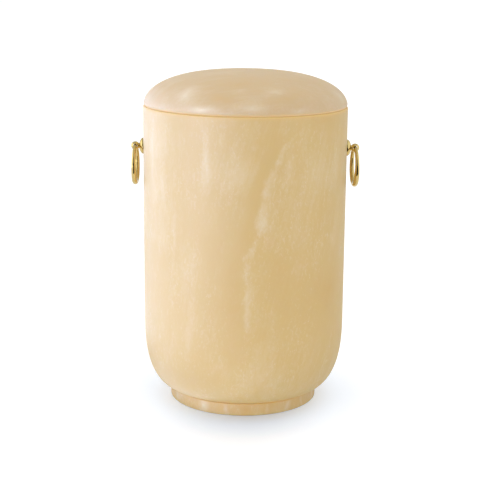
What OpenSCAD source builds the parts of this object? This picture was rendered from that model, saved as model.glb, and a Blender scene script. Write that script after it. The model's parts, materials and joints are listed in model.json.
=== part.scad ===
// Covered stone urn with a brass ring handle on each side. Millimetres, +Z up.
// The origin is on the table, under the centre of the foot.

/* [Vessel] */
// Outer radius of the straight wall
body_r = 90; // [84:1:96]
// Height of the rim that the lid rests on, above the table
rim_z = 265; // [250:1:280]
// Thickness of the wall
wall_t = 12; // [9:0.5:14]
// Thickness of the floor
floor_t = 13; // [9:0.5:16]
// Height over which the belly draws in
belly_h = 61.8; // [50:0.1:70]
// Squareness of the belly: 2 is an ellipse, more is squarer
belly_n = 2.4; // [2:0.1:3]
// How far the belly's curve would run on inside the edge of its seat on the foot
belly_tuck = 2; // [0.5:0.1:5]
// Rounding of the rim's outer edge
rim_round = 1.6; // [0.5:0.1:3]
// Bevel of the rim's inner edge
mouth_bevel = 0.8; // [0.2:0.1:2]

/* [Foot] */
// Radius of the foot
foot_r = 66.3; // [65.5:0.1:68]
// Height of the foot
foot_h = 10.9; // [8:0.1:16]
// Rounding of the foot's two edges
foot_round = 0.8; // [0.2:0.1:2]
// Radius of the flat on which the vessel sits on the foot
seat_r = 63; // [58:0.5:64]

/* [Lid] */
// Radius that the dome springs from
lid_r = 89.8; // [85:0.1:96]
// Height of the dome above the rim
lid_h = 30.7; // [22:0.1:40]
// Height by which the dome's curve starts below the rim
lid_drop = 1; // [0:0.1:3]
// Squareness of the dome across its width: 2 is an ellipse
dome_n = 2.54; // [2:0.01:3]
// Squareness of the dome up its height: 2 is an ellipse
dome_m = 2.16; // [2:0.01:3]
// Height of the rounding of the lid's lower edge
lid_edge_h = 2.7; // [1:0.1:4]
// How far that rounding draws in
lid_edge_in = 1.1; // [0.5:0.1:2]
// Thickness of the stone at the top of the dome
crown_t = 12; // [9:0.5:14]
// Depth of the locating ring that drops into the mouth
spigot_h = 8; // [4:0.5:12]
// Thickness of the locating ring
spigot_t = 8; // [5:0.5:12]
// Gap between the locating ring and the mouth
spigot_gap = 0.7; // [0.3:0.1:1.5]

/* [Posts] */
// Height of the handle posts above the table
post_z = 228; // [200:1:235]
// Radius of the domed back plate
plate_r = 7.3; // [6:0.1:9]
// Height of the back plate's dome
plate_h = 4; // [3:0.1:4.2]
// Radius of the waist between the plate and the ball
neck_r = 2.2; // [1.8:0.1:2.6]
// Distance of the ball's centre from the wall
ball_out = 7.4; // [7.2:0.1:9]
// Radius of the ball
ball_r = 3.8; // [3.6:0.1:4.4]
// Radius of the hole through the ball
hole_r = 2; // [1.9:0.05:2.4]

/* [Rings] */
// Radius of the ring at the middle of its wire
ring_r = 16.3; // [14:0.1:17]
// Radius of the wire at the top, in the ball
wire_top_r = 1.5; // [1.2:0.05:1.55]
// Radius of the wire at the bottom
wire_bottom_r = 2.4; // [1.6:0.05:2.6]
// Turn of the left ring in its loose hole, in degrees
left_turn = -1; // [-4:0.5:4]
// Turn of the right ring in its loose hole, in degrees
right_turn = 4; // [-4:0.5:4]

/* [Hidden] */
$fn = 96;
stone = "#ecd6ae";
pale_stone = "#efdcbb";
foot_stone = "#dcc090";
brass = "#d3a54a";
arc_steps = 8;
curve_steps = 32;
ring_steps = 72;
wire_sides = 16;
mouth_r = body_r - wall_t;
// how far the belly draws in from the wall
belly_in = body_r - seat_r + belly_tuck;
belly_z = foot_h + 0.2 + belly_h;
floor_z = foot_h + floor_t;
spigot_r = mouth_r - spigot_gap;
hollow_r = spigot_r - spigot_t;
lid_base_z = rim_z - lid_drop;
dome_h = lid_h + lid_drop;
// angle at which the dome takes over from the rounded edge
dome_start = asin(pow((lid_edge_h + lid_drop) / dome_h, dome_m / 2));
lid_wide_r = lid_r * pow(cos(dome_start), 2 / dome_n);
// angle at which the belly's curve reaches the seat on the foot
belly_end = acos(pow((belly_tuck + 1) / belly_in, belly_n / 2));
// half the length of the hole through the ball
hole_half = sqrt(ball_r * ball_r - hole_r * hole_r);
// the wire's curve drops by this much inside the hole, so the ring sits half as far up
ring_lift = (ring_r - sqrt(ring_r * ring_r - hole_half * hole_half)) / 2;

// a rounded outer corner of a profile: centre, radial and axial size, first and last angle
function corner(r, z, dr, dz, from, to) = [
    for (i = [0 : arc_steps])
        let (a = from + (to - from) * i / arc_steps)
        [r + dr * cos(a), z + dz * sin(a)]
];

// the belly's curve from the wall down to the bottom, with its own radius and depth
function belly(side_r, depth, last) = [
    for (i = [0 : curve_steps])
        let (a = last * i / curve_steps)
        [side_r - belly_in + belly_in * pow(cos(a), 2 / belly_n), belly_z - depth * pow(sin(a), 2 / belly_n)]
];

// the lid's dome from its edge up to the crown
function dome() = [
    for (i = [0 : curve_steps])
        let (a = dome_start + (90 - dome_start) * i / curve_steps)
        [lid_r * pow(abs(cos(a)), 2 / dome_n), lid_base_z + dome_h * pow(sin(a), 2 / dome_m)]
];

module vessel() {
    outside = concat(
        corner(body_r - rim_round, rim_z - rim_round, rim_round, rim_round, 90, 0),
        belly(body_r, belly_h, belly_end),
        [[seat_r, foot_h], [0, foot_h]]
    );
    inside = concat(
        [[0, rim_z + 1], [mouth_r + mouth_bevel + 1, rim_z + 1], [mouth_r, rim_z - mouth_bevel]],
        belly(mouth_r, belly_z - floor_z, 90),
        [[0, floor_z]]
    );
    color(stone)
    rotate_extrude()
    difference() {
        polygon(concat([[0, rim_z]], outside));
        polygon(inside);
    }
}

module foot() {
    color(foot_stone)
    rotate_extrude()
    polygon(concat(
        [[0, 0]],
        corner(foot_r - foot_round, foot_round, foot_round, foot_round, -90, 0),
        corner(foot_r - foot_round, foot_h - foot_round, foot_round, foot_round, 0, 90),
        [[0, foot_h]]
    ));
}

module lid() {
    hollow_h = lid_h + spigot_h - crown_t;
    color(pale_stone)
    rotate_extrude()
    difference() {
        polygon(concat(
            [[0, rim_z - spigot_h], [spigot_r - 1, rim_z - spigot_h], [spigot_r, rim_z - spigot_h + 1]],
            [[spigot_r, rim_z]],
            corner(lid_wide_r - lid_edge_in, rim_z + lid_edge_h, lid_edge_in, lid_edge_h, -90, 0),
            dome()
        ));
        translate([0, rim_z - spigot_h])
        polygon(concat(
            [[0, -1], [hollow_r, -1]],
            [for (a = [0 : 5 : 90]) [hollow_r * cos(a), hollow_h * sin(a)]]
        ));
    }
}

// turned post along +X, cut at its back to the curve of the wall
module post() {
    dome_end = acos(neck_r / plate_r);
    ball_start = asin(neck_r / ball_r);
    color(brass)
    difference() {
        translate([body_r, 0, post_z])
        rotate([0, 90, 0])
        rotate_extrude()
        polygon(concat(
            [[0, -2], [plate_r, -2]],
            [for (i = [0 : arc_steps]) let (a = dome_end * i / arc_steps) [plate_r * cos(a), plate_h * sin(a)]],
            [for (i = [0 : 3 * arc_steps])
                let (a = 180 - ball_start - (180 - ball_start) * i / (3 * arc_steps))
                [ball_r * sin(a), ball_out + ball_r * cos(a)]]
        ));
        cylinder(r = body_r, h = rim_z);
        translate([body_r + ball_out, 0, post_z])
        rotate([90, 0, 0])
        cylinder(r = hole_r, h = 4 * ball_r, center = true);
    }
}

module left_post() {
    mirror([1, 0, 0])
    post();
}

module right_post() {
    post();
}

// hanging ring whose wire thickens from its top to its bottom, side -1 for left and 1 for right
module ring(side, turn) {
    points = [
        for (i = [0 : ring_steps - 1], k = [0 : wire_sides - 1])
            let (
                a = 360 * i / ring_steps,
                b = 360 * k / wire_sides,
                wire_r = wire_top_r + (wire_bottom_r - wire_top_r) * (1 - cos(a)) / 2,
                from_centre = ring_r + wire_r * cos(b)
            )
            [wire_r * sin(b), from_centre * sin(a), from_centre * cos(a) - ring_r]
    ];
    faces = [
        for (i = [0 : ring_steps - 1], k = [0 : wire_sides - 1])
            let (
                i2 = (i + 1) % ring_steps,
                k2 = (k + 1) % wire_sides
            )
            [i * wire_sides + k, i2 * wire_sides + k, i2 * wire_sides + k2, i * wire_sides + k2]
    ];
    color(brass)
    translate([side * (body_r + ball_out), 0, post_z + ring_lift])
    rotate([0, 0, turn])
    polyhedron(points, faces);
}

module left_ring() {
    ring(-1, left_turn);
}

module right_ring() {
    ring(1, right_turn);
}

vessel();
foot();
lid();
left_post();
right_post();
left_ring();
right_ring();
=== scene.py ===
import bpy
import json
import math
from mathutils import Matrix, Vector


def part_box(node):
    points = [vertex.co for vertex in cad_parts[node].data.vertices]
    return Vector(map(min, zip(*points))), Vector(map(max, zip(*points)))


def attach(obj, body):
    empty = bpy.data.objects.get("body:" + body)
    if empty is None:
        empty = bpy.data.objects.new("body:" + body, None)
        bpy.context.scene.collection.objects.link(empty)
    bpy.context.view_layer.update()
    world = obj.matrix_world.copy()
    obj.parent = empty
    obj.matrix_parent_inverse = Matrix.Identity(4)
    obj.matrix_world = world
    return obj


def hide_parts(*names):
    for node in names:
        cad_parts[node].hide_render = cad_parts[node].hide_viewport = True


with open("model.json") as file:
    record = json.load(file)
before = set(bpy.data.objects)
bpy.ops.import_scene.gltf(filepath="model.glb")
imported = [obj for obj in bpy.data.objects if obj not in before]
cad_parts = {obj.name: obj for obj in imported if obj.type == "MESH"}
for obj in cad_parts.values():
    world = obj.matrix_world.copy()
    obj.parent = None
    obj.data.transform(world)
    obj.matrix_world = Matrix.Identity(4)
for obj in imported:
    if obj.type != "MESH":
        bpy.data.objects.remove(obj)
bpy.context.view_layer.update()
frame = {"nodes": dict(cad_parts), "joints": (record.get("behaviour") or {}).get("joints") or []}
print("stage: frame loaded,", len(frame["nodes"]), "nodes")

mm = 0.001  # in metres
vesselLow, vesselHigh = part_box("vessel")
wallRadius = (vesselHigh[0] - vesselLow[0]) / 2 / mm


def hexToLinear(code):  # sRGB hex, such as "d2b380", to linear RGBA
    parts = [int(code[i:i + 2], 16) / 255 for i in (0, 2, 4)]
    return tuple(c / 12.92 if c <= 0.04045 else ((c + 0.055) / 1.055) ** 2.4 for c in parts) + (1.0,)


def addNode(tree, kind, settings=None, links=None):  # a node, its properties or sockets, what feeds it
    node = tree.nodes.new(kind)
    for name, value in (settings or {}).items():
        if isinstance(name, str) and hasattr(node, name):
            setattr(node, name, value)
        else:
            node.inputs[name].default_value = value
    for name, source in (links or {}).items():
        tree.links.new(source, node.inputs[name])
    return node


def newMaterial(name):
    material = bpy.data.materials.new(name)
    material.use_nodes = True
    material.node_tree.nodes.clear()
    return material, material.node_tree


def addObject(name, data):
    obj = bpy.data.objects.new(name, data)
    bpy.context.scene.collection.objects.link(obj)
    return obj


cameraSettings = {
    "lens": 90.5,  # mm
    "sensor": 36,  # mm
    "side": 0.0052,  # m to the right of the urn's axis
    "distance": 1.107,  # m in front of the axis
    "height": 0.3885,  # m above the table
    "lookDown": 12.95,  # degrees below level
    "roll": 0.6,  # degrees
    "nearest": 0.05,  # m
    "farthest": 30,  # m
}


def makeCamera(s):
    camera = addObject("camera", bpy.data.cameras.new("camera"))
    camera.data.lens = s["lens"]
    camera.data.sensor_width = s["sensor"]
    camera.data.clip_start = s["nearest"]
    camera.data.clip_end = s["farthest"]
    camera.location = (s["side"], -s["distance"], s["height"])
    camera.rotation_mode = "XYZ"
    camera.rotation_euler = (math.radians(90 - s["lookDown"]), 0, 0)
    camera.rotation_euler.rotate_axis("Z", math.radians(s["roll"]))
    bpy.context.scene.camera = camera


makeCamera(cameraSettings)
print("stage: camera")


def finishMesh(name, mesh, material, sharpAngle=35):
    obj = addObject(name, mesh)
    mesh.polygons.foreach_set("use_smooth", [True] * len(mesh.polygons))
    mesh.set_sharp_from_angle(angle=math.radians(sharpAngle))
    mesh.materials.append(material)
    mesh.update()
    return obj


def turnedMesh(name, profile, steps):  # profile of (radius, height) in mm, from the axis round to the axis
    verts = []
    rings = []
    for radius, height in profile:
        if radius < 1e-6:  # on the axis
            rings.append([len(verts)])
            verts.append((0, 0, height * mm))
            continue
        rings.append(list(range(len(verts), len(verts) + steps)))
        for i in range(steps):
            a = 2 * math.pi * i / steps
            verts.append((radius * math.cos(a) * mm, radius * math.sin(a) * mm, height * mm))
    faces = []
    for low, high in zip(rings, rings[1:]):
        for i in range(steps):
            k = (i + 1) % steps
            if len(low) == 1:
                faces.append((low[0], high[k], high[i]))
            elif len(high) == 1:
                faces.append((low[i], low[k], high[0]))
            else:
                faces.append((low[i], low[k], high[k], high[i]))
    mesh = bpy.data.meshes.new(name)
    mesh.from_pydata(verts, [], faces)
    return mesh


def arcPoints(r, z, dr, dz, first, last, count):  # part of an ellipse about (r, z), angles in degrees
    turns = [math.radians(first + (last - first) * i / count) for i in range(count + 1)]
    return [(r + dr * math.cos(a), z + dz * math.sin(a)) for a in turns]


def straightPoints(start, end, count):  # points between start and end, without either
    return [tuple(a + (b - a) * i / count for a, b in zip(start, end)) for i in range(1, count)]


def bellyPoints(sideRadius, inward, top, depth, square, last, count):  # from the wall down to the bottom
    points = []
    for i in range(count + 1):
        a = last * i / count
        points.append((
            sideRadius - inward + inward * max(math.cos(a), 0) ** (2 / square),
            top - depth * math.sin(a) ** (2 / square),
        ))
    return points


stoneSettings = {
    "honey": "ccb077",  # body colour of the alabaster
    "pale": "e2dac8",  # milky clouds, veins and crystal flecks
    "amber": "c7a05a",  # clear, deeper-coloured zones
    "rose": "d1b294",  # faint iron stain
    "bed": (-9.0, 13.0),  # degrees that the block's upright bed leans about X and Y
    "bandWidth": 9.0,  # mm across the broad streaks of the bed
    "fibreWidth": 1.8,  # mm across the fine ones
    "stretch": 12.0,  # how many times longer than wide they are
    "cloudSize": 60.0,  # mm
    "grainSize": 1.2,  # mm
    "clouds": 0.07,  # how strongly each of these pales or deepens the stone
    "bands": 0.05,
    "fibres": 0.035,
    "grain": 0.03,
    "raggedSize": 14.0,  # mm between the bays in the patches' outlines
    "wander": (12, 22, 0),  # mm by which those outlines stray
    "veinBend": 11.0,  # mm between the vein's bends
    "veinSwing": 9.0,  # mm that it swings from side to side
    "veinMost": (45.0, 12.0),  # degrees round and mm half wide that the vein may reach
    "veinThin": (0.5, 6.0),  # mm half wide at which it starts to show and is full
    "veinMilk": (0.08, 0.38),  # its paleness where it is thin and where it is dense
    "clearAside": 8.0,  # mm from the vein to the middle of the clear stone on its left
    "clearReach": 11.0,  # mm from there to its edges
    "clearTone": -0.11,
    "fleckSpacing": 1.7,  # mm between crystal flecks
    "fleckStretch": 2.0,  # how many times taller than wide they are
    "fleckEdge": (0.08, 0.24),  # shares of the spacing at which a fleck starts to fade and is gone
    "fleckless": 0.3,  # share of the places for one that stay empty
    "flecks": 0.4,  # how strongly they pale it
    "frostSize": 1.8,  # mm across the fine frost between them
    "frostEdge": (0.5, 0.7),  # noise at which it starts and is full
    "frost": 0.2,
    "driftSize": 16.0,  # mm across the drifts that both gather in
    "driftEdge": (0.42, 0.6),  # noise at which a drift starts and is full
    "driftLeast": 0.25,  # how much of both is left between the drifts
    "stainEdge": (0.5, 0.75),  # noise at which the iron stain starts and is full
    "stains": 0.12,
    "roughness": 0.5,
    "roughnessSpan": 0.04,  # more and less with the grain
    "bump": 0.1,
    "bumpDepth": 0.1,  # mm
    "ior": 1.52,  # alabaster
    "depth": 0.6,  # share of the light that travels through the stone
    "depthReach": 8.0,  # mm
    "depthColour": (1.0, 0.6, 0.3),  # how far red, green and blue travel in it
}


def stoneMaterial(name, piece):
    # honed alabaster: cloudy honey stone with upright fibres, milky veins and a soft satin shine
    s = {**stoneSettings, **piece["stone"]}
    material, tree = newMaterial(name)
    place = addNode(tree, "ShaderNodeTexCoord")
    inMm = addNode(
        tree, "ShaderNodeVectorMath", {"operation": "SCALE", "Scale": 1 / mm}, {0: place.outputs["Object"]}
    )
    axes = addNode(tree, "ShaderNodeSeparateXYZ", {}, {0: inMm.outputs[0]})
    upright = addNode(
        tree, "ShaderNodeMapping",
        {
            "vector_type": "TEXTURE",
            "Rotation": (math.radians(s["bed"][0]), math.radians(s["bed"][1]), 0),
            "Scale": (1, 1, s["stretch"]),
        },
        {0: inMm.outputs[0]},
    )
    bands = addNode(
        tree, "ShaderNodeTexNoise",
        {"Scale": 1 / s["bandWidth"], "Detail": 3, "Roughness": 0.55, "Distortion": 0.3},
        {"Vector": upright.outputs[0]},
    )
    fibres = addNode(
        tree, "ShaderNodeTexNoise", {"Scale": 1 / s["fibreWidth"], "Detail": 2, "Roughness": 0.5},
        {"Vector": upright.outputs[0]},
    )
    clouds = addNode(
        tree, "ShaderNodeTexNoise",
        {"Scale": 1 / s["cloudSize"], "Detail": 4, "Roughness": 0.55, "Distortion": 0.8},
        {"Vector": inMm.outputs[0]},
    )
    grain = addNode(
        tree, "ShaderNodeTexNoise", {"Scale": 1 / s["grainSize"], "Detail": 2, "Roughness": 0.6},
        {"Vector": inMm.outputs[0]},
    )
    # paleness, from -1 for clear amber stone, 0 for honey, to 1 for milky stone; near the turned edges it
    # also carries a painted amber shade
    paleness = addNode(tree, "ShaderNodeValue").outputs[0]
    for noise, share in ((bands, "bands"), (fibres, "fibres"), (clouds, "clouds"), (grain, "grain")):
        part = addNode(
            tree, "ShaderNodeMapRange",
            {"From Min": 0.3, "From Max": 0.7, "To Min": -s[share], "To Max": s[share]},
            {0: noise.outputs["Fac"]},
        )
        paleness = addNode(tree, "ShaderNodeMath", {}, {0: paleness, 1: part.outputs[0]}).outputs[0]
    # the surface unrolled to a flat map in mm
    back = addNode(tree, "ShaderNodeMath", {"operation": "MULTIPLY", 1: -1}, {0: axes.outputs["Y"]})
    angle = addNode(
        tree, "ShaderNodeMath", {"operation": "ARCTAN2"}, {0: axes.outputs["X"], 1: back.outputs[0]}
    )
    around = addNode(tree, "ShaderNodeMath", {"operation": "MULTIPLY", 1: wallRadius}, {0: angle.outputs[0]})
    flat = addNode(tree, "ShaderNodeCombineXYZ", {}, {0: around.outputs[0], 1: axes.outputs["Z"]})
    ragged = addNode(
        tree, "ShaderNodeTexNoise", {"Scale": 1 / s["raggedSize"], "Detail": 5, "Roughness": 0.6},
        {"Vector": inMm.outputs[0]},
    )
    shift = addNode(
        tree, "ShaderNodeVectorMath",
        {"operation": "MULTIPLY_ADD", 1: s["wander"], 2: [-w / 2 for w in s["wander"]]},
        {0: ragged.outputs["Color"]},
    )
    wandering = addNode(tree, "ShaderNodeVectorMath", {}, {0: flat.outputs[0], 1: shift.outputs[0]})
    for across, up, halfWidth, halfHeight, lean, strength in piece["patches"]:
        local = addNode(
            tree, "ShaderNodeMapping",
            {
                "vector_type": "TEXTURE",
                "Location": (math.radians(across) * wallRadius, up, 0),
                "Rotation": (0, 0, -math.radians(lean)),
                "Scale": (halfWidth, halfHeight, 1),
            },
            {0: wandering.outputs[0]},
        )
        soft = addNode(
            tree, "ShaderNodeTexGradient", {"gradient_type": "QUADRATIC_SPHERE"}, {0: local.outputs[0]}
        )
        paleness = addNode(
            tree, "ShaderNodeMath", {"operation": "MULTIPLY_ADD", 1: strength},
            {0: soft.outputs["Fac"], 2: paleness},
        ).outputs[0]
    # vein: a milky line that wanders up the wall, with clearer amber stone along its left side
    if "vein" in piece:
        vein = sorted(piece["vein"])
        low = vein[0][0]
        high = vein[-1][0]
        level = addNode(
            tree, "ShaderNodeMapRange", {"From Min": low, "From Max": high}, {0: axes.outputs["Z"]}
        )
        course = []  # how far round it runs and half its width, in mm at every height
        turnMost, widthMost = s["veinMost"]
        for column, most, unit in ((1, turnMost, math.radians(1) * wallRadius), (2, widthMost, 1)):
            curve = addNode(tree, "ShaderNodeFloatCurve", {}, {"Value": level.outputs[0]})
            points = curve.mapping.curves[0].points
            steps = [((step[0] - low) / (high - low), step[column] / most) for step in vein]
            points[0].location = steps[0]
            points[1].location = steps[-1]
            for step in steps[1:-1]:
                points.new(*step)
            curve.mapping.update()
            course.append(
                addNode(
                    tree, "ShaderNodeMath", {"operation": "MULTIPLY", 1: most * unit}, {0: curve.outputs[0]}
                ).outputs[0]
            )
        bends = addNode(
            tree, "ShaderNodeTexNoise", {"Scale": 1 / s["veinBend"], "Detail": 5, "Roughness": 0.65},
            {"Vector": inMm.outputs[0]},
        )
        swing = addNode(
            tree, "ShaderNodeMath", {"operation": "MULTIPLY_ADD", 1: s["veinSwing"], 2: -s["veinSwing"] / 2},
            {0: bends.outputs["Fac"]},
        )
        swung = addNode(tree, "ShaderNodeMath", {}, {0: around.outputs[0], 1: swing.outputs[0]})
        aside = addNode(
            tree, "ShaderNodeMath", {"operation": "SUBTRACT"}, {0: swung.outputs[0], 1: course[0]}
        )
        away = addNode(tree, "ShaderNodeMath", {"operation": "ABSOLUTE"}, {0: aside.outputs[0]})
        milky = addNode(
            tree, "ShaderNodeMapRange",
            {"interpolation_type": "SMOOTHSTEP", "From Min": 0, "To Min": 1, "To Max": 0},
            {0: away.outputs[0], "From Max": course[1]},
        )
        leftOf = addNode(
            tree, "ShaderNodeMath", {"operation": "ADD", 1: s["clearAside"]}, {0: aside.outputs[0]}
        )
        leftOf = addNode(tree, "ShaderNodeMath", {"operation": "ABSOLUTE"}, {0: leftOf.outputs[0]})
        clear = addNode(
            tree, "ShaderNodeMapRange",
            {
                "interpolation_type": "SMOOTHSTEP",
                "From Min": 0,
                "From Max": s["clearReach"],
                "To Min": s["clearTone"],
                "To Max": 0,
            },
            {0: leftOf.outputs[0]},
        )
        present = addNode(
            tree, "ShaderNodeMapRange", {"From Min": s["veinThin"][0], "From Max": s["veinThin"][1]},
            {0: course[1]},
        )
        patchy = addNode(
            tree, "ShaderNodeMapRange",
            {"From Min": 0.35, "From Max": 0.65, "To Min": s["veinMilk"][0], "To Max": s["veinMilk"][1]},
            {0: ragged.outputs["Fac"]},
        )
        milky = addNode(
            tree, "ShaderNodeMath", {"operation": "MULTIPLY"}, {0: milky.outputs[0], 1: patchy.outputs[0]}
        )
        for part in (milky, clear):
            part = addNode(
                tree, "ShaderNodeMath", {"operation": "MULTIPLY"}, {0: part.outputs[0], 1: present.outputs[0]}
            )
            paleness = addNode(tree, "ShaderNodeMath", {}, {0: paleness, 1: part.outputs[0]}).outputs[0]
    # painted light at the turned edges: a deeper amber is painted along them as shade, and the surface glows
    # there as if light came through the stone
    glow = addNode(tree, "ShaderNodeValue").outputs[0]
    for height, reach, strength, paintedEdgeGlow in piece["edges"]:
        away = addNode(
            tree, "ShaderNodeMath", {"operation": "SUBTRACT", 1: piece[height]}, {0: axes.outputs["Z"]}
        )
        away = addNode(tree, "ShaderNodeMath", {"operation": "ABSOLUTE"}, {0: away.outputs[0]})
        near = addNode(
            tree, "ShaderNodeMapRange",
            {"interpolation_type": "SMOOTHSTEP", "From Max": reach, "To Min": 1, "To Max": 0},
            {0: away.outputs[0]},
        )
        paleness = addNode(
            tree, "ShaderNodeMath", {"operation": "MULTIPLY_ADD", 1: strength},
            {0: near.outputs[0], 2: paleness},
        ).outputs[0]
        glow = addNode(
            tree, "ShaderNodeMath", {"operation": "MULTIPLY_ADD", 1: paintedEdgeGlow}, {0: near.outputs[0], 2: glow}
        ).outputs[0]
    # crystal flecks and frost, taller than wide, gathered in drifts along the bed
    cells = addNode(
        tree, "ShaderNodeMapping", {"Scale": (1, 1, 1 / s["fleckStretch"])}, {0: inMm.outputs[0]}
    )
    flecks = addNode(
        tree, "ShaderNodeTexVoronoi", {"Scale": 1 / s["fleckSpacing"], "Randomness": 1},
        {"Vector": cells.outputs[0]},
    )
    dot = addNode(
        tree, "ShaderNodeMapRange",
        {"From Min": s["fleckEdge"][0], "From Max": s["fleckEdge"][1], "To Min": 1, "To Max": 0},
        {0: flecks.outputs["Distance"]},
    )
    chance = addNode(tree, "ShaderNodeSeparateColor", {}, {0: flecks.outputs["Color"]})
    chosen = addNode(
        tree, "ShaderNodeMapRange", {"From Min": s["fleckless"], "From Max": 1, "To Max": s["flecks"]},
        {0: chance.outputs[0]},
    )
    sparkle = addNode(
        tree, "ShaderNodeMath", {"operation": "MULTIPLY"}, {0: dot.outputs[0], 1: chosen.outputs[0]}
    )
    frosty = addNode(
        tree, "ShaderNodeTexNoise",
        {"Scale": 1 / s["frostSize"], "Detail": 3, "Roughness": 0.6, "Distortion": 0.5},
        {"Vector": cells.outputs[0]},
    )
    frost = addNode(
        tree, "ShaderNodeMapRange",
        {"From Min": s["frostEdge"][0], "From Max": s["frostEdge"][1], "To Max": s["frost"]},
        {0: frosty.outputs["Fac"]},
    )
    sparkle = addNode(tree, "ShaderNodeMath", {}, {0: sparkle.outputs[0], 1: frost.outputs[0]})
    drifts = addNode(
        tree, "ShaderNodeTexNoise", {"Scale": 1 / s["driftSize"], "Detail": 3, "Roughness": 0.6},
        {"Vector": upright.outputs[0]},
    )
    gathered = addNode(
        tree, "ShaderNodeMapRange",
        {"From Min": s["driftEdge"][0], "From Max": s["driftEdge"][1], "To Min": s["driftLeast"]},
        {0: drifts.outputs["Fac"]},
    )
    sparkle = addNode(
        tree, "ShaderNodeMath", {"operation": "MULTIPLY"}, {0: sparkle.outputs[0], 1: gathered.outputs[0]}
    )
    paleness = addNode(tree, "ShaderNodeMath", {}, {0: paleness, 1: sparkle.outputs[0]}).outputs[0]
    # colour: honey with rose stains, then towards pale or amber
    towardsAmber = addNode(
        tree, "ShaderNodeMath", {"operation": "MULTIPLY", 1: -1, "use_clamp": True}, {0: paleness}
    )
    stain = addNode(
        tree, "ShaderNodeMapRange",
        {"From Min": s["stainEdge"][0], "From Max": s["stainEdge"][1], "To Max": s["stains"]},
        {0: ragged.outputs["Fac"]},
    )
    colour = addNode(
        tree, "ShaderNodeMix", {"data_type": "RGBA", 6: hexToLinear(s["honey"]), 7: hexToLinear(s["rose"])},
        {0: stain.outputs[0]},
    )
    colour = addNode(
        tree, "ShaderNodeMix", {"data_type": "RGBA", 7: hexToLinear(s["pale"])},
        {0: paleness, 6: colour.outputs[2]},
    )
    colour = addNode(
        tree, "ShaderNodeMix", {"data_type": "RGBA", 7: hexToLinear(s["amber"])},
        {0: towardsAmber.outputs[0], 6: colour.outputs[2]},
    )
    rough = addNode(
        tree, "ShaderNodeMapRange",
        {
            "From Min": 0.3,
            "From Max": 0.7,
            "To Min": s["roughness"] - s["roughnessSpan"],
            "To Max": s["roughness"] + s["roughnessSpan"],
        },
        {0: grain.outputs["Fac"]},
    )
    bump = addNode(
        tree, "ShaderNodeBump", {"Strength": s["bump"], "Distance": s["bumpDepth"] * mm},
        {"Height": grain.outputs["Fac"]},
    )
    shader = addNode(
        tree, "ShaderNodeBsdfPrincipled",
        {
            "IOR": s["ior"],
            "Subsurface Weight": s["depth"],
            "Subsurface Radius": s["depthColour"],
            "Subsurface Scale": s["depthReach"] * mm,
            # painted light: the stone glows in its honey colour near the turned edges, lifting the shade in
            # the seams
            "Emission Color": hexToLinear(s["honey"]),
        },
        {
            "Base Color": colour.outputs[2],
            "Roughness": rough.outputs[0],
            "Normal": bump.outputs[0],
            "Emission Strength": glow,
        },
    )
    addNode(tree, "ShaderNodeOutputMaterial", {}, {0: shader.outputs[0]})
    return material


vesselSettings = {
    "rim": vesselHigh[2] / mm,
    "seat": vesselLow[2] / mm,
    "wall": 12.0,  # mm, like the other sizes
    "floor": 13.0,
    "seatRadius": 63.0,
    "seatSoftening": (0.5, 0.3, 0.1),  # its edge is eased from so far in to so far out and up
    "bellyLift": 0.2,
    "bellyTuck": 2.0,
    "bellyHeight": 61.8,
    "bellySquare": 2.4,  # 2 is an ellipse, more is squarer
    "rimRound": 1.6,
    "mouthBevel": 0.8,
    "underRows": (20, 45),  # radii of the rows of faces under the seat
    "floorRow": 20,  # and on the floor
    "steps": 288,
    "bellySteps": 60,
    "insideSteps": 40,
    "wallSteps": 24,
    "rimSteps": 10,
    "mouthSteps": 10,
    "stone": {},
    # name of a height, mm that it reaches, paleness, glow: painted amber shade and painted glow at the rim
    # and seat, and a wider painted glow lightening the shaded underside of the belly
    "edges": [
        ("rim", 4, -0.35, 0.08),
        ("seat", 8, -0.4, 0.18),
        ("seat", 28, 0, 0.1),
    ],
    # degrees round from the front, height, half width, half height, lean in degrees, paleness
    "patches": [
        (-21, 227, 8, 44, 3, 0.36),
        (-50, 202, 8, 34, -2, 0.22),
        (-61, 236, 12, 44, 0, 0.2),
        (-41, 162, 5, 44, 3, 0.18),
        (-31, 74, 10, 42, 8, 0.12),
        (-6, 212, 10, 40, 3, 0.08),
        (-4, 216, 36, 56, 0, 0.1),
        (-30, 130, 14, 110, 0, 0.12),
        (-12, 52, 14, 26, 0, 0.14),
        (-13, 117, 9, 16, 0, 0.12),
        (-60, 200, 12, 38, 0, 0.14),
        (60, 216, 12, 34, 0, 0.14),
        (25, 222, 10, 38, 0, 0.14),
        (47, 218, 48, 46, 0, 0.14),
        (56, 157, 20, 14, 0, 0.1),
        (16, 36, 44, 26, 0, 0.1),
        (150, 190, 70, 60, 0, 0.14),
        (-130, 120, 50, 70, 8, 0.14),
        (-22, 162, 22, 26, 0, -0.18),
        (-7, 108, 22, 66, 4, -0.22),
        (21, 122, 26, 60, 0, -0.2),
        (54, 112, 48, 46, 0, -0.4),
        (44, 260, 40, 10, 0, -0.2),
        (-35, 36, 46, 26, 0, -0.09),
        (-170, 90, 60, 50, 0, -0.14),
    ],
    # height, degrees round from the front, half width
    "vein": [
        (256, 34, 1.0),
        (240, 22, 4.0),
        (222, 16, 7.0),
        (210, 13, 7.0),
        (192, 10, 7.5),
        (178, 9, 8.0),
        (164, 7, 6.0),
        (146, 3.2, 6.5),
        (136, 1.8, 8.0),
        (122, 2.8, 10.0),
        (104, 2.2, 7.5),
        (80, 2.4, 0.0),
    ],
}


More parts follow.
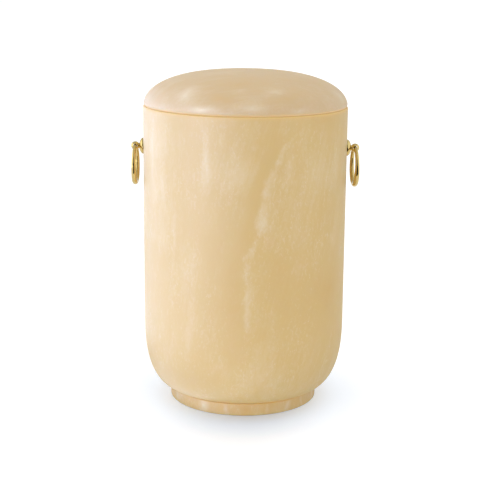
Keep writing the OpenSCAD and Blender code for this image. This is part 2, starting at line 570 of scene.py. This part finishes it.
def vesselProfile(s):
    rim = s["rim"]
    seat = s["seat"]
    inner, outer, up = s["seatSoftening"]
    inward = wallRadius - s["seatRadius"] + s["bellyTuck"]
    bellyTop = seat + s["bellyLift"] + s["bellyHeight"]
    bellyEnd = math.acos(((s["bellyTuck"] + 1) / inward) ** (s["bellySquare"] / 2))
    floor = seat + s["floor"]
    mouth = wallRadius - s["wall"]
    belly = bellyPoints(
        wallRadius, inward, bellyTop, s["bellyHeight"], s["bellySquare"], bellyEnd, s["bellySteps"]
    )
    inside = bellyPoints(
        mouth, inward, bellyTop, bellyTop - floor, s["bellySquare"], math.pi / 2, s["insideSteps"]
    )
    rimRound = s["rimRound"]
    return (
        [(0, seat)]
        + [(row, seat) for row in s["underRows"]]
        + [(s["seatRadius"] - inner, seat), (s["seatRadius"] + outer, seat + up)]
        + belly[::-1]
        + straightPoints(belly[0], (wallRadius, rim - rimRound), s["wallSteps"])
        + arcPoints(wallRadius - rimRound, rim - rimRound, rimRound, rimRound, 0, 90, s["rimSteps"])
        + [(mouth + s["mouthBevel"], rim), (mouth, rim - s["mouthBevel"])]
        + straightPoints((mouth, rim - s["mouthBevel"]), inside[0], s["mouthSteps"])
        + inside
        + [(s["floorRow"], floor), (0, floor)]
    )


vesselStone = stoneMaterial("honed_alabaster_vessel", vesselSettings)
vesselMesh = turnedMesh("vessel_turned", vesselProfile(vesselSettings), vesselSettings["steps"])
vessel = finishMesh("vessel_turned", vesselMesh, vesselStone)
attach(vessel, "urn")
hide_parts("vessel")
print("stage: vessel")


footLow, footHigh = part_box("foot")
footSettings = {
    "radius": (footHigh[0] - footLow[0]) / 2 / mm,
    "height": footHigh[2] / mm,
    "round": 0.8,  # mm, of both edges
    "rows": (25, 50),  # radii of the rows of faces on its two flats
    "steps": 240,
    "sideSteps": 8,
    "stone": {"honey": "d0b077", "amber": "c6984e", "cloudSize": 25.0, "wander": (6, 4, 0)},
    # name of a height, mm that it reaches, paleness, glow: painted amber shade and painted glow along the
    # foot's top edge
    "edges": [("height", 1.5, -0.5, 0.06)],
    # degrees round from the front, height, half width, half height, lean in degrees, paleness
    "patches": [
        (-62, 6, 14, 9, 0, 0.55),
        (-31, 6, 13, 14, 14, 0.6),
        (-13, 6, 6, 12, -8, 0.45),
        (3, 5, 14, 12, 0, -0.35),
        (19, 5, 5, 10, 10, 0.25),
        (37, 6, 8, 11, 20, 0.45),
        (52, 6, 4, 10, -12, 0.3),
        (70, 6, 8, 9, 10, 0.3),
        (-150, 6, 40, 9, 8, 0.4),
        (140, 6, 30, 9, -8, 0.35),
    ],
}


def footProfile(s):
    radius = s["radius"]
    height = s["height"]
    edge = s["round"]
    count = s["sideSteps"]
    return (
        [(0, 0)]
        + [(row, 0) for row in s["rows"]]
        + arcPoints(radius - edge, edge, edge, edge, -90, 0, count)
        + straightPoints((radius, edge), (radius, height - edge), count)
        + arcPoints(radius - edge, height - edge, edge, edge, 0, 90, count)
        + [(row, height) for row in s["rows"][::-1]]
        + [(0, height)]
    )


footStone = stoneMaterial("honed_alabaster_foot", footSettings)
footMesh = turnedMesh("foot_turned", footProfile(footSettings), footSettings["steps"])
foot = finishMesh("foot_turned", footMesh, footStone)
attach(foot, "urn")
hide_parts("foot")
print("stage: foot")


lidLow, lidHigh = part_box("lid")
lidSettings = {
    "rim": vesselSettings["rim"],  # that it rests on
    "top": lidHigh[2] / mm,
    "bottom": lidLow[2] / mm,
    "springRadius": 89.8,  # mm, radius that the dome springs from
    "drop": 1.0,  # mm below the rim that its curve starts
    "squareAcross": 2.54,  # 2 is an ellipse, more is squarer
    "squareUp": 2.16,
    "edgeHeight": 2.7,  # mm, like the other sizes
    "edgeIn": 1.1,
    "crown": 12.0,
    "spigotGap": 0.7,
    "spigotThick": 8.0,
    "spigotBevel": 1.0,
    "steps": 288,
    "domeSteps": 90,
    "hollowSteps": 40,
    "edgeSteps": 12,
    "stone": {
        "honey": "c6ad86",
        "bed": (-9.0, 82.0),  # the lid is cut across the bed
        "cloudSize": 45.0,
        "clouds": 0.12,
        "flecks": 0.15,
        "frost": 0.08,
        "wander": (8, 6, 0),
    },
    # name of a height, mm that it reaches, paleness, glow: painted amber shade and a strong painted glow in
    # the seam at the lid's edge
    "edges": [("rim", 2.4, -0.35, 0.42)],
    # degrees round from the front, height, half width, half height, lean in degrees, paleness
    "patches": [
        (-37, 280, 19, 12, 0, 0.62),
        (-23, 269.8, 22, 5, 0, 0.7),
        (4, 272, 34, 10, 0, 0.48),
        (19, 284, 20, 6, 0, 0.35),
        (-4, 284, 18, 5, 0, 0.22),
        (30, 269.4, 18, 4, 0, 0.25),
        (72, 276, 18, 14, 0, 0.3),
        (-72, 273, 16, 9, 0, 0.3),
        (160, 280, 60, 14, 0, 0.3),
        (-120, 276, 40, 12, 0, 0.3),
        (-4, 289, 36, 9, 0, -0.25),
        (24, 278, 18, 7, 0, -0.25),
        (-13, 279, 26, 7, 0, -0.25),
        (110, 278, 40, 12, 0, -0.25),
    ],
}


def lidProfile(s):
    rim = s["rim"]
    base = rim - s["drop"]
    domeHeight = s["top"] - base
    spigot = wallRadius - vesselSettings["wall"] - s["spigotGap"]
    hollow = spigot - s["spigotThick"]
    hollowHeight = s["top"] - s["bottom"] - s["crown"]
    start = math.asin(((s["edgeHeight"] + s["drop"]) / domeHeight) ** (s["squareUp"] / 2))
    wide = s["springRadius"] * math.cos(start) ** (2 / s["squareAcross"])
    dome = []
    for i in range(s["domeSteps"] + 1):
        a = start + (math.pi / 2 - start) * i / s["domeSteps"]
        dome.append((
            s["springRadius"] * max(math.cos(a), 0) ** (2 / s["squareAcross"]),
            base + domeHeight * math.sin(a) ** (2 / s["squareUp"]),
        ))
    dome[-1] = (0, s["top"])
    inside = arcPoints(0, s["bottom"], hollow, hollowHeight, 90, 0, s["hollowSteps"])
    inside[0] = (0, inside[0][1])
    edge = arcPoints(
        wide - s["edgeIn"], rim + s["edgeHeight"], s["edgeIn"], s["edgeHeight"], -90, 0, s["edgeSteps"]
    )
    bevel = s["spigotBevel"]
    return (
        inside
        + [(spigot - bevel, s["bottom"]), (spigot, s["bottom"] + bevel), (spigot, rim)]
        + edge[:-1]
        + dome
    )


lidStone = stoneMaterial("honed_alabaster_lid", lidSettings)
lidMesh = turnedMesh("lid_turned", lidProfile(lidSettings), lidSettings["steps"])
lid = finishMesh("lid_turned", lidMesh, lidStone)
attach(lid, "urn")
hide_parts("lid")
print("stage: lid")


brassSettings = {
    "colour": "e8d08c",  # yellow brass
    "shade": "dcbd6e",  # deeper colour in the haze
    "shading": 0.5,  # the most of it
    "roughness": 0.1,
    "hazeSize": 5.0,  # mm across the handling haze
    "haze": (-0.03, 0.05),  # roughness that it takes away and adds
    "scratchSize": 0.6,  # mm
    "bump": 0.04,
    "bumpDepth": 0.1,  # mm
}


def brassMaterial(name, s):
    # turned and polished yellow brass: mirror-like, with faint handling haze
    material, tree = newMaterial(name)
    place = addNode(tree, "ShaderNodeTexCoord")
    inMm = addNode(
        tree, "ShaderNodeVectorMath", {"operation": "SCALE", "Scale": 1 / mm}, {0: place.outputs["Object"]}
    )
    haze = addNode(
        tree, "ShaderNodeTexNoise", {"Scale": 1 / s["hazeSize"], "Detail": 4, "Roughness": 0.6},
        {"Vector": inMm.outputs[0]},
    )
    fine = addNode(
        tree, "ShaderNodeTexNoise", {"Scale": 1 / s["scratchSize"], "Detail": 2}, {"Vector": inMm.outputs[0]}
    )
    mixed = addNode(
        tree, "ShaderNodeMapRange", {"From Min": 0.4, "From Max": 0.7, "To Max": s["shading"]},
        {0: haze.outputs["Fac"]},
    )
    colour = addNode(
        tree, "ShaderNodeMix",
        {"data_type": "RGBA", 6: hexToLinear(s["colour"]), 7: hexToLinear(s["shade"])},
        {0: mixed.outputs[0]},
    )
    rough = addNode(
        tree, "ShaderNodeMapRange",
        {
            "From Min": 0.35,
            "From Max": 0.65,
            "To Min": s["roughness"] + s["haze"][0],
            "To Max": s["roughness"] + s["haze"][1],
        },
        {0: haze.outputs["Fac"]},
    )
    bump = addNode(
        tree, "ShaderNodeBump", {"Strength": s["bump"], "Distance": s["bumpDepth"] * mm},
        {"Height": fine.outputs["Fac"]},
    )
    shader = addNode(
        tree, "ShaderNodeBsdfPrincipled", {"Metallic": 1.0},
        {"Base Color": colour.outputs[2], "Roughness": rough.outputs[0], "Normal": bump.outputs[0]},
    )
    addNode(tree, "ShaderNodeOutputMaterial", {}, {0: shader.outputs[0]})
    return material


postSettings = {
    "plateRadius": 7.3,  # mm, like the other sizes
    "plateHeight": 4.0,
    "plateBack": -0.3,  # where it ends, let into the wall
    "bendDepth": 1.2,  # over which its back is bent to the wall
    "neckRadius": 2.2,
    "ballRadius": 3.8,
    "ballOut": 7.4,  # ball's centre from the wall
    "holeRadius": 2.0,
    "holeReach": 9,  # half the length of the drill
    "holeBevel": 0.15,
    "bevelSegments": 3,
    "bevelAngle": 50,  # degrees
    "sharpAngle": 40,
    "steps": 96,
    "domeSteps": 28,
    "ballSteps": 48,
    "holeSteps": 64,
}


def postProfile(s):  # radius and distance from the wall, from behind the plate out to the ball's tip
    domeEnd = math.acos(s["neckRadius"] / s["plateRadius"])
    ballStart = math.asin(s["neckRadius"] / s["ballRadius"])
    dome = arcPoints(0, 0, s["plateRadius"], s["plateHeight"], 0, math.degrees(domeEnd), s["domeSteps"])
    ball = []
    for i in range(s["ballSteps"] + 1):
        a = math.pi - ballStart - (math.pi - ballStart) * i / s["ballSteps"]
        ball.append((max(s["ballRadius"] * math.sin(a), 0), s["ballOut"] + s["ballRadius"] * math.cos(a)))
    ball[-1] = (0, ball[-1][1])
    return [(0, s["plateBack"]), (s["plateRadius"], s["plateBack"])] + dome + ball


def makePost(name, node, side, s, material):
    low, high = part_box(node)
    height = (low[2] + high[2]) / 2
    wall = wallRadius * mm
    mesh = turnedMesh(name, postProfile(s), s["steps"])
    for v in mesh.vertices:  # lay the turning axis along X, bend the back to the wall
        along, across, up = v.co.z, v.co.x, v.co.y
        back = wall - math.sqrt(wall * wall - across * across)
        share = max(0, 1 - along / (s["bendDepth"] * mm))
        v.co = (side * (wall + along - back * min(share, 1)), side * across, height + up)
    post = finishMesh(name, mesh, material, s["sharpAngle"])
    radius = s["holeRadius"]
    reach = s["holeReach"]
    drill = turnedMesh("drill", [(0, -reach), (radius, -reach), (radius, reach), (0, reach)], s["holeSteps"])
    cutter = addObject("drill", drill)
    cutter.rotation_euler = (math.pi / 2, 0, 0)
    cutter.location = (side * (wall + s["ballOut"] * mm), 0, height)
    hole = post.modifiers.new("hole", "BOOLEAN")
    hole.operation = "DIFFERENCE"
    hole.object = cutter
    hole.solver = "EXACT"
    edge = post.modifiers.new("softened hole", "BEVEL")
    edge.width = s["holeBevel"] * mm
    edge.segments = s["bevelSegments"]
    edge.limit_method = "ANGLE"
    edge.angle_limit = math.radians(s["bevelAngle"])
    bpy.context.view_layer.update()
    cut = bpy.data.meshes.new_from_object(post.evaluated_get(bpy.context.evaluated_depsgraph_get()))
    post.modifiers.clear()
    post.data = cut
    cut.name = name
    bpy.data.objects.remove(cutter)
    cut.set_sharp_from_angle(angle=math.radians(s["sharpAngle"]))
    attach(post, "urn")
    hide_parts(node)
    return post


ringSettings = {
    "radius": 16.3,  # mm to the middle of the wire
    "topWire": 1.5,  # mm, radius of the wire at the top and at the bottom
    "bottomWire": 2.4,
    "lift": 0.16,  # mm, so that its bent wire sits in the middle of the straight hole
    "turns": {"left_ring": -1, "right_ring": 4},  # degrees about the upright
    "around": 160,
    "sides": 40,
}


def makeRing(name, node, s, material):
    joint = next(j for j in frame["joints"] if j["child"] == node)
    pivot = joint["pos_m"]
    turn = math.radians(s["turns"][node])
    around = s["around"]
    sides = s["sides"]
    mesh = bpy.data.meshes.new(name)
    verts = []
    faces = []
    for i in range(around):
        a = 2 * math.pi * i / around
        wire = s["topWire"] + (s["bottomWire"] - s["topWire"]) * (1 - math.cos(a)) / 2
        nextRow = (i + 1) % around
        for k in range(sides):
            b = 2 * math.pi * k / sides
            reach = s["radius"] + wire * math.cos(b)
            x = wire * math.sin(b)
            y = reach * math.sin(a)
            z = reach * math.cos(a) - s["radius"] + s["lift"]
            verts.append((
                pivot[0] + (x * math.cos(turn) - y * math.sin(turn)) * mm,
                pivot[1] + (x * math.sin(turn) + y * math.cos(turn)) * mm,
                pivot[2] + z * mm,
            ))
            k2 = (k + 1) % sides
            faces.append((i * sides + k, i * sides + k2, nextRow * sides + k2, nextRow * sides + k))
    mesh.from_pydata(verts, [], faces)
    ring = finishMesh(name, mesh, material)
    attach(ring, node)
    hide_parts(node)
    return ring


brass = brassMaterial("polished_brass", brassSettings)
brassPieces = []
for side, word in ((-1, "left"), (1, "right")):
    brassPieces.append(makePost(word + "_post_turned", word + "_post", side, postSettings, brass))
    brassPieces.append(makeRing(word + "_ring_cast", word + "_ring", ringSettings, brass))
print("stage: brass handles")


stageSettings = {
    "floorRadius": 6.0,  # m, like the other lengths
    "floorSteps": 96,
    "shadowTone": "dde8f9",  # beside the foot, cooler, so the shadow is painted a neutral grey
    "farTone": "eaeaea",
    "toneReach": (0.072, 0.15),  # from the axis between those two
    "shadowGlow": (0.055, 0.05, 0.05, 1),  # brightness added to what the camera sees of the table; less of it near the urn paints the shadow darker there
    "farGlow": (0.32, 0.325, 0.33, 1),
    # where the painted shadow sits, how far it reaches and how it is shaped
    "shadowCentre": (0, -0.04, 0),
    "shadowReach": (0.02, 0.13),
    "shadowShape": (1.5, 1, 1),  # more than 1 makes it narrower
    "cardTone": "2a2622",
    "cardLeft": -0.22,
    "cardRight": 0.42,
    "cardNear": (-0.2, 0.004),  # its lower edge, in front and up
    "cardFar": (-0.6, 0.35),
}


def makeFloor(s):
    # matt white tabletop: the soft shadow under the urn is partly real and partly painted, by less camera
    # glow and a cooler tone near the foot
    turns = [2 * math.pi * i / s["floorSteps"] for i in range(s["floorSteps"])]
    rim = [(s["floorRadius"] * math.cos(a), s["floorRadius"] * math.sin(a), 0) for a in turns]
    mesh = bpy.data.meshes.new("floor")
    mesh.from_pydata(rim, [], [tuple(range(len(rim)))])
    material, tree = newMaterial("matt_white_table")
    path = addNode(tree, "ShaderNodeLightPath")
    place = addNode(tree, "ShaderNodeTexCoord")
    shaped = addNode(
        tree, "ShaderNodeVectorMath", {"operation": "MULTIPLY", 1: s["shadowShape"]},
        {0: place.outputs["Object"]},
    )
    away = addNode(
        tree, "ShaderNodeVectorMath", {"operation": "DISTANCE", 1: s["shadowCentre"]}, {0: shaped.outputs[0]}
    )
    far = addNode(
        tree, "ShaderNodeMapRange",
        {
            "interpolation_type": "SMOOTHSTEP",
            "From Min": s["shadowReach"][0],
            "From Max": s["shadowReach"][1],
        },
        {0: away.outputs["Value"]},
    )
    fromAxis = addNode(tree, "ShaderNodeVectorMath", {"operation": "LENGTH"}, {0: place.outputs["Object"]})
    plain = addNode(
        tree, "ShaderNodeMapRange",
        {
            "interpolation_type": "SMOOTHSTEP",
            "From Min": s["toneReach"][0],
            "From Max": s["toneReach"][1],
        },
        {0: fromAxis.outputs["Value"]},
    )
    # painted shadow colour: a cooler tone beside the foot
    tone = addNode(
        tree, "ShaderNodeMix",
        {"data_type": "RGBA", 6: hexToLinear(s["shadowTone"]), 7: hexToLinear(s["farTone"])},
        {0: plain.outputs[0]},
    )
    # painted shadow: the camera glow is weaker near the urn
    lift = addNode(
        tree, "ShaderNodeMix", {"data_type": "RGBA", 6: s["shadowGlow"], 7: s["farGlow"]}, {0: far.outputs[0]}
    )
    matt = addNode(tree, "ShaderNodeBsdfDiffuse", {}, {"Color": tone.outputs[2]})
    glow = addNode(
        tree, "ShaderNodeEmission", {}, {"Color": lift.outputs[2], "Strength": path.outputs["Is Camera Ray"]}
    )
    both = addNode(tree, "ShaderNodeAddShader", {}, {0: matt.outputs[0], 1: glow.outputs[0]})
    addNode(tree, "ShaderNodeOutputMaterial", {}, {0: both.outputs[0]})
    mesh.materials.append(material)
    addObject("floor", mesh)


def makeCard(s):
    # black card that only reflections see, for the dark line that polished metal needs
    mesh = bpy.data.meshes.new("card")
    corners = [
        (s["cardLeft"], *s["cardNear"]),
        (s["cardRight"], *s["cardNear"]),
        (s["cardRight"], *s["cardFar"]),
        (s["cardLeft"], *s["cardFar"]),
    ]
    mesh.from_pydata(corners, [], [(0, 1, 2, 3)])
    material, tree = newMaterial("black_card")
    black = addNode(tree, "ShaderNodeBsdfDiffuse", {"Color": hexToLinear(s["cardTone"])})
    addNode(tree, "ShaderNodeOutputMaterial", {}, {0: black.outputs[0]})
    mesh.materials.append(material)
    card = addObject("card", mesh)
    card.visible_camera = False
    card.visible_diffuse = False
    card.visible_shadow = False
    card.visible_transmission = False


worldSettings = {
    "matt": 1.03,  # brightness of the white room for matt light
    "shine": 0.55,  # and for reflections
    "rightShine": 0.4,  # added on the right
    "rightEdge": (0.3, 0.8),  # how far right that starts and is full
    "frontShine": 0.35,  # taken away in front
    "front": (0, -0.96, 0.28),  # direction of the dimmer front, a little raised
    "frontEdge": (0.75, 0.9),  # how far towards the front that starts and is full
}


def makeWorld(s):
    world = bpy.data.worlds.new("studio")
    bpy.context.scene.world = world
    world.use_nodes = True
    tree = world.node_tree
    tree.nodes.clear()
    path = addNode(tree, "ShaderNodeLightPath")
    place = addNode(tree, "ShaderNodeTexCoord")
    side = addNode(tree, "ShaderNodeSeparateXYZ", {}, {0: place.outputs["Generated"]})
    right = addNode(
        tree, "ShaderNodeMapRange",
        {
            "interpolation_type": "SMOOTHSTEP",
            "From Min": s["rightEdge"][0],
            "From Max": s["rightEdge"][1],
            "To Min": s["shine"],
            "To Max": s["shine"] + s["rightShine"],
        },
        {0: side.outputs["X"]},
    )
    ahead = addNode(
        tree, "ShaderNodeVectorMath", {"operation": "DOT_PRODUCT", 1: s["front"]},
        {0: place.outputs["Generated"]},
    )
    front = addNode(
        tree, "ShaderNodeMapRange",
        {
            "interpolation_type": "SMOOTHSTEP",
            "From Min": s["frontEdge"][0],
            "From Max": s["frontEdge"][1],
            "To Max": s["frontShine"],
        },
        {0: ahead.outputs["Value"]},
    )
    shine = addNode(
        tree, "ShaderNodeMath", {"operation": "SUBTRACT"}, {0: right.outputs[0], 1: front.outputs[0]}
    )
    strength = addNode(
        tree, "ShaderNodeMix", {2: s["matt"]}, {0: path.outputs["Is Glossy Ray"], 3: shine.outputs[0]}
    )
    strength = addNode(
        tree, "ShaderNodeMath", {"operation": "MAXIMUM"},
        {0: strength.outputs[0], 1: path.outputs["Is Camera Ray"]},
    )
    background = addNode(
        tree, "ShaderNodeBackground", {"Color": (1, 1, 1, 1)}, {"Strength": strength.outputs[0]}
    )
    addNode(tree, "ShaderNodeOutputWorld", {}, {0: background.outputs[0]})


# turn in degrees round from the front, away and height in m, size wide and high, power in watts,
# tip in degrees downwards
softBox = {"away": 0.9, "height": 0.27, "size": (0.47, 0.54)}
highBox = {"away": 0.9, "height": 0.85, "size": (0.8, 0.6)}
tableBox = {"away": 0.5, "height": 0.002, "size": (0.35, 0.6), "tip": -90}
lowStrip = {"away": 0.45, "height": 0.04, "size": (0.5, 0.06), "tip": -12}
shineLamps = {  # broad soft boxes whose reflection whitens the honed stone
    "soft_front": {**softBox, "turn": -20, "power": 3.5},
    "soft_key": {**softBox, "turn": -50, "power": 6.5},
    "soft_side": {**softBox, "turn": -80, "power": 1.85},
    "soft_rear": {**softBox, "turn": -110, "power": 4.9},
    "soft_behind": {**softBox, "turn": -140, "power": 1.3},
    "soft_right": {**softBox, "turn": 50, "power": 1.0},
    "high_key": {**highBox, "turn": -60, "power": 6.3},
    "high_rear": {**highBox, "turn": -120, "power": 3.1},
    "table_side": {**tableBox, "turn": -80, "power": 1.9},
    "table_rear": {**tableBox, "turn": -120, "power": 0.9},
    "table_near": {**tableBox, "turn": -40, "away": 0.2, "size": (0.26, 0.26), "power": 0.42},
}
mattLamps = {  # fill for the colour of the stone itself
    "over_left": {"turn": -90, "away": 0.8, "height": 1.3, "size": (0.8, 0.8), "power": 3.6, "tip": 50},
    "front_fill": {"turn": 0, "away": 1.5, "height": 0.5, "size": (0.8, 0.8), "power": 1.9},
    "low_fill": {**lowStrip, "turn": 0, "power": 0.22},
    "low_left": {**lowStrip, "turn": -60, "power": 0.18},
}
brassLamps = {  # a gentler box for the polished brass, which mirrors it undimmed
    "brass_left": {"turn": -95, "away": 1.2, "height": 0.5, "size": (1.9, 1.2), "power": 6.5},
}
coolTint = (0.82, 0.93, 1.27)  # of the shine on the honey stone
plainTint = (1, 1, 1)


def makeLamp(name, s, shine, receivers, tint):
    lamp = addObject(name, bpy.data.lights.new(name, "AREA"))
    lamp.data.shape = "RECTANGLE"
    lamp.data.size, lamp.data.size_y = s["size"]
    lamp.data.energy = s["power"]
    lamp.data.color = tint
    turn = math.radians(s["turn"])
    lamp.location = (s["away"] * math.sin(turn), -s["away"] * math.cos(turn), s["height"])
    lamp.rotation_euler = (math.radians(90 - s.get("tip", 0)), 0, turn)
    lamp.visible_camera = False
    lamp.visible_diffuse = not shine
    lamp.visible_glossy = shine
    lamp.light_linking.receiver_collection = receivers


def lampTargets(name, objects):
    targets = bpy.data.collections.new(name)
    for obj in objects:
        targets.objects.link(obj)
    return targets


makeFloor(stageSettings)
makeCard(stageSettings)
makeWorld(worldSettings)
stoneTargets = lampTargets("lit_stone", [vessel, foot, lid])
brassTargets = lampTargets("lit_brass", brassPieces)
for lamps, shine, targets, tint in (
    (shineLamps, True, stoneTargets, coolTint),
    (mattLamps, False, stoneTargets, plainTint),
    (brassLamps, True, brassTargets, plainTint),
):
    for lampName, lamp in lamps.items():
        makeLamp(lampName, lamp, shine, targets, tint)
bpy.context.scene.view_settings.view_transform = "Standard"
print("stage: floor and light")
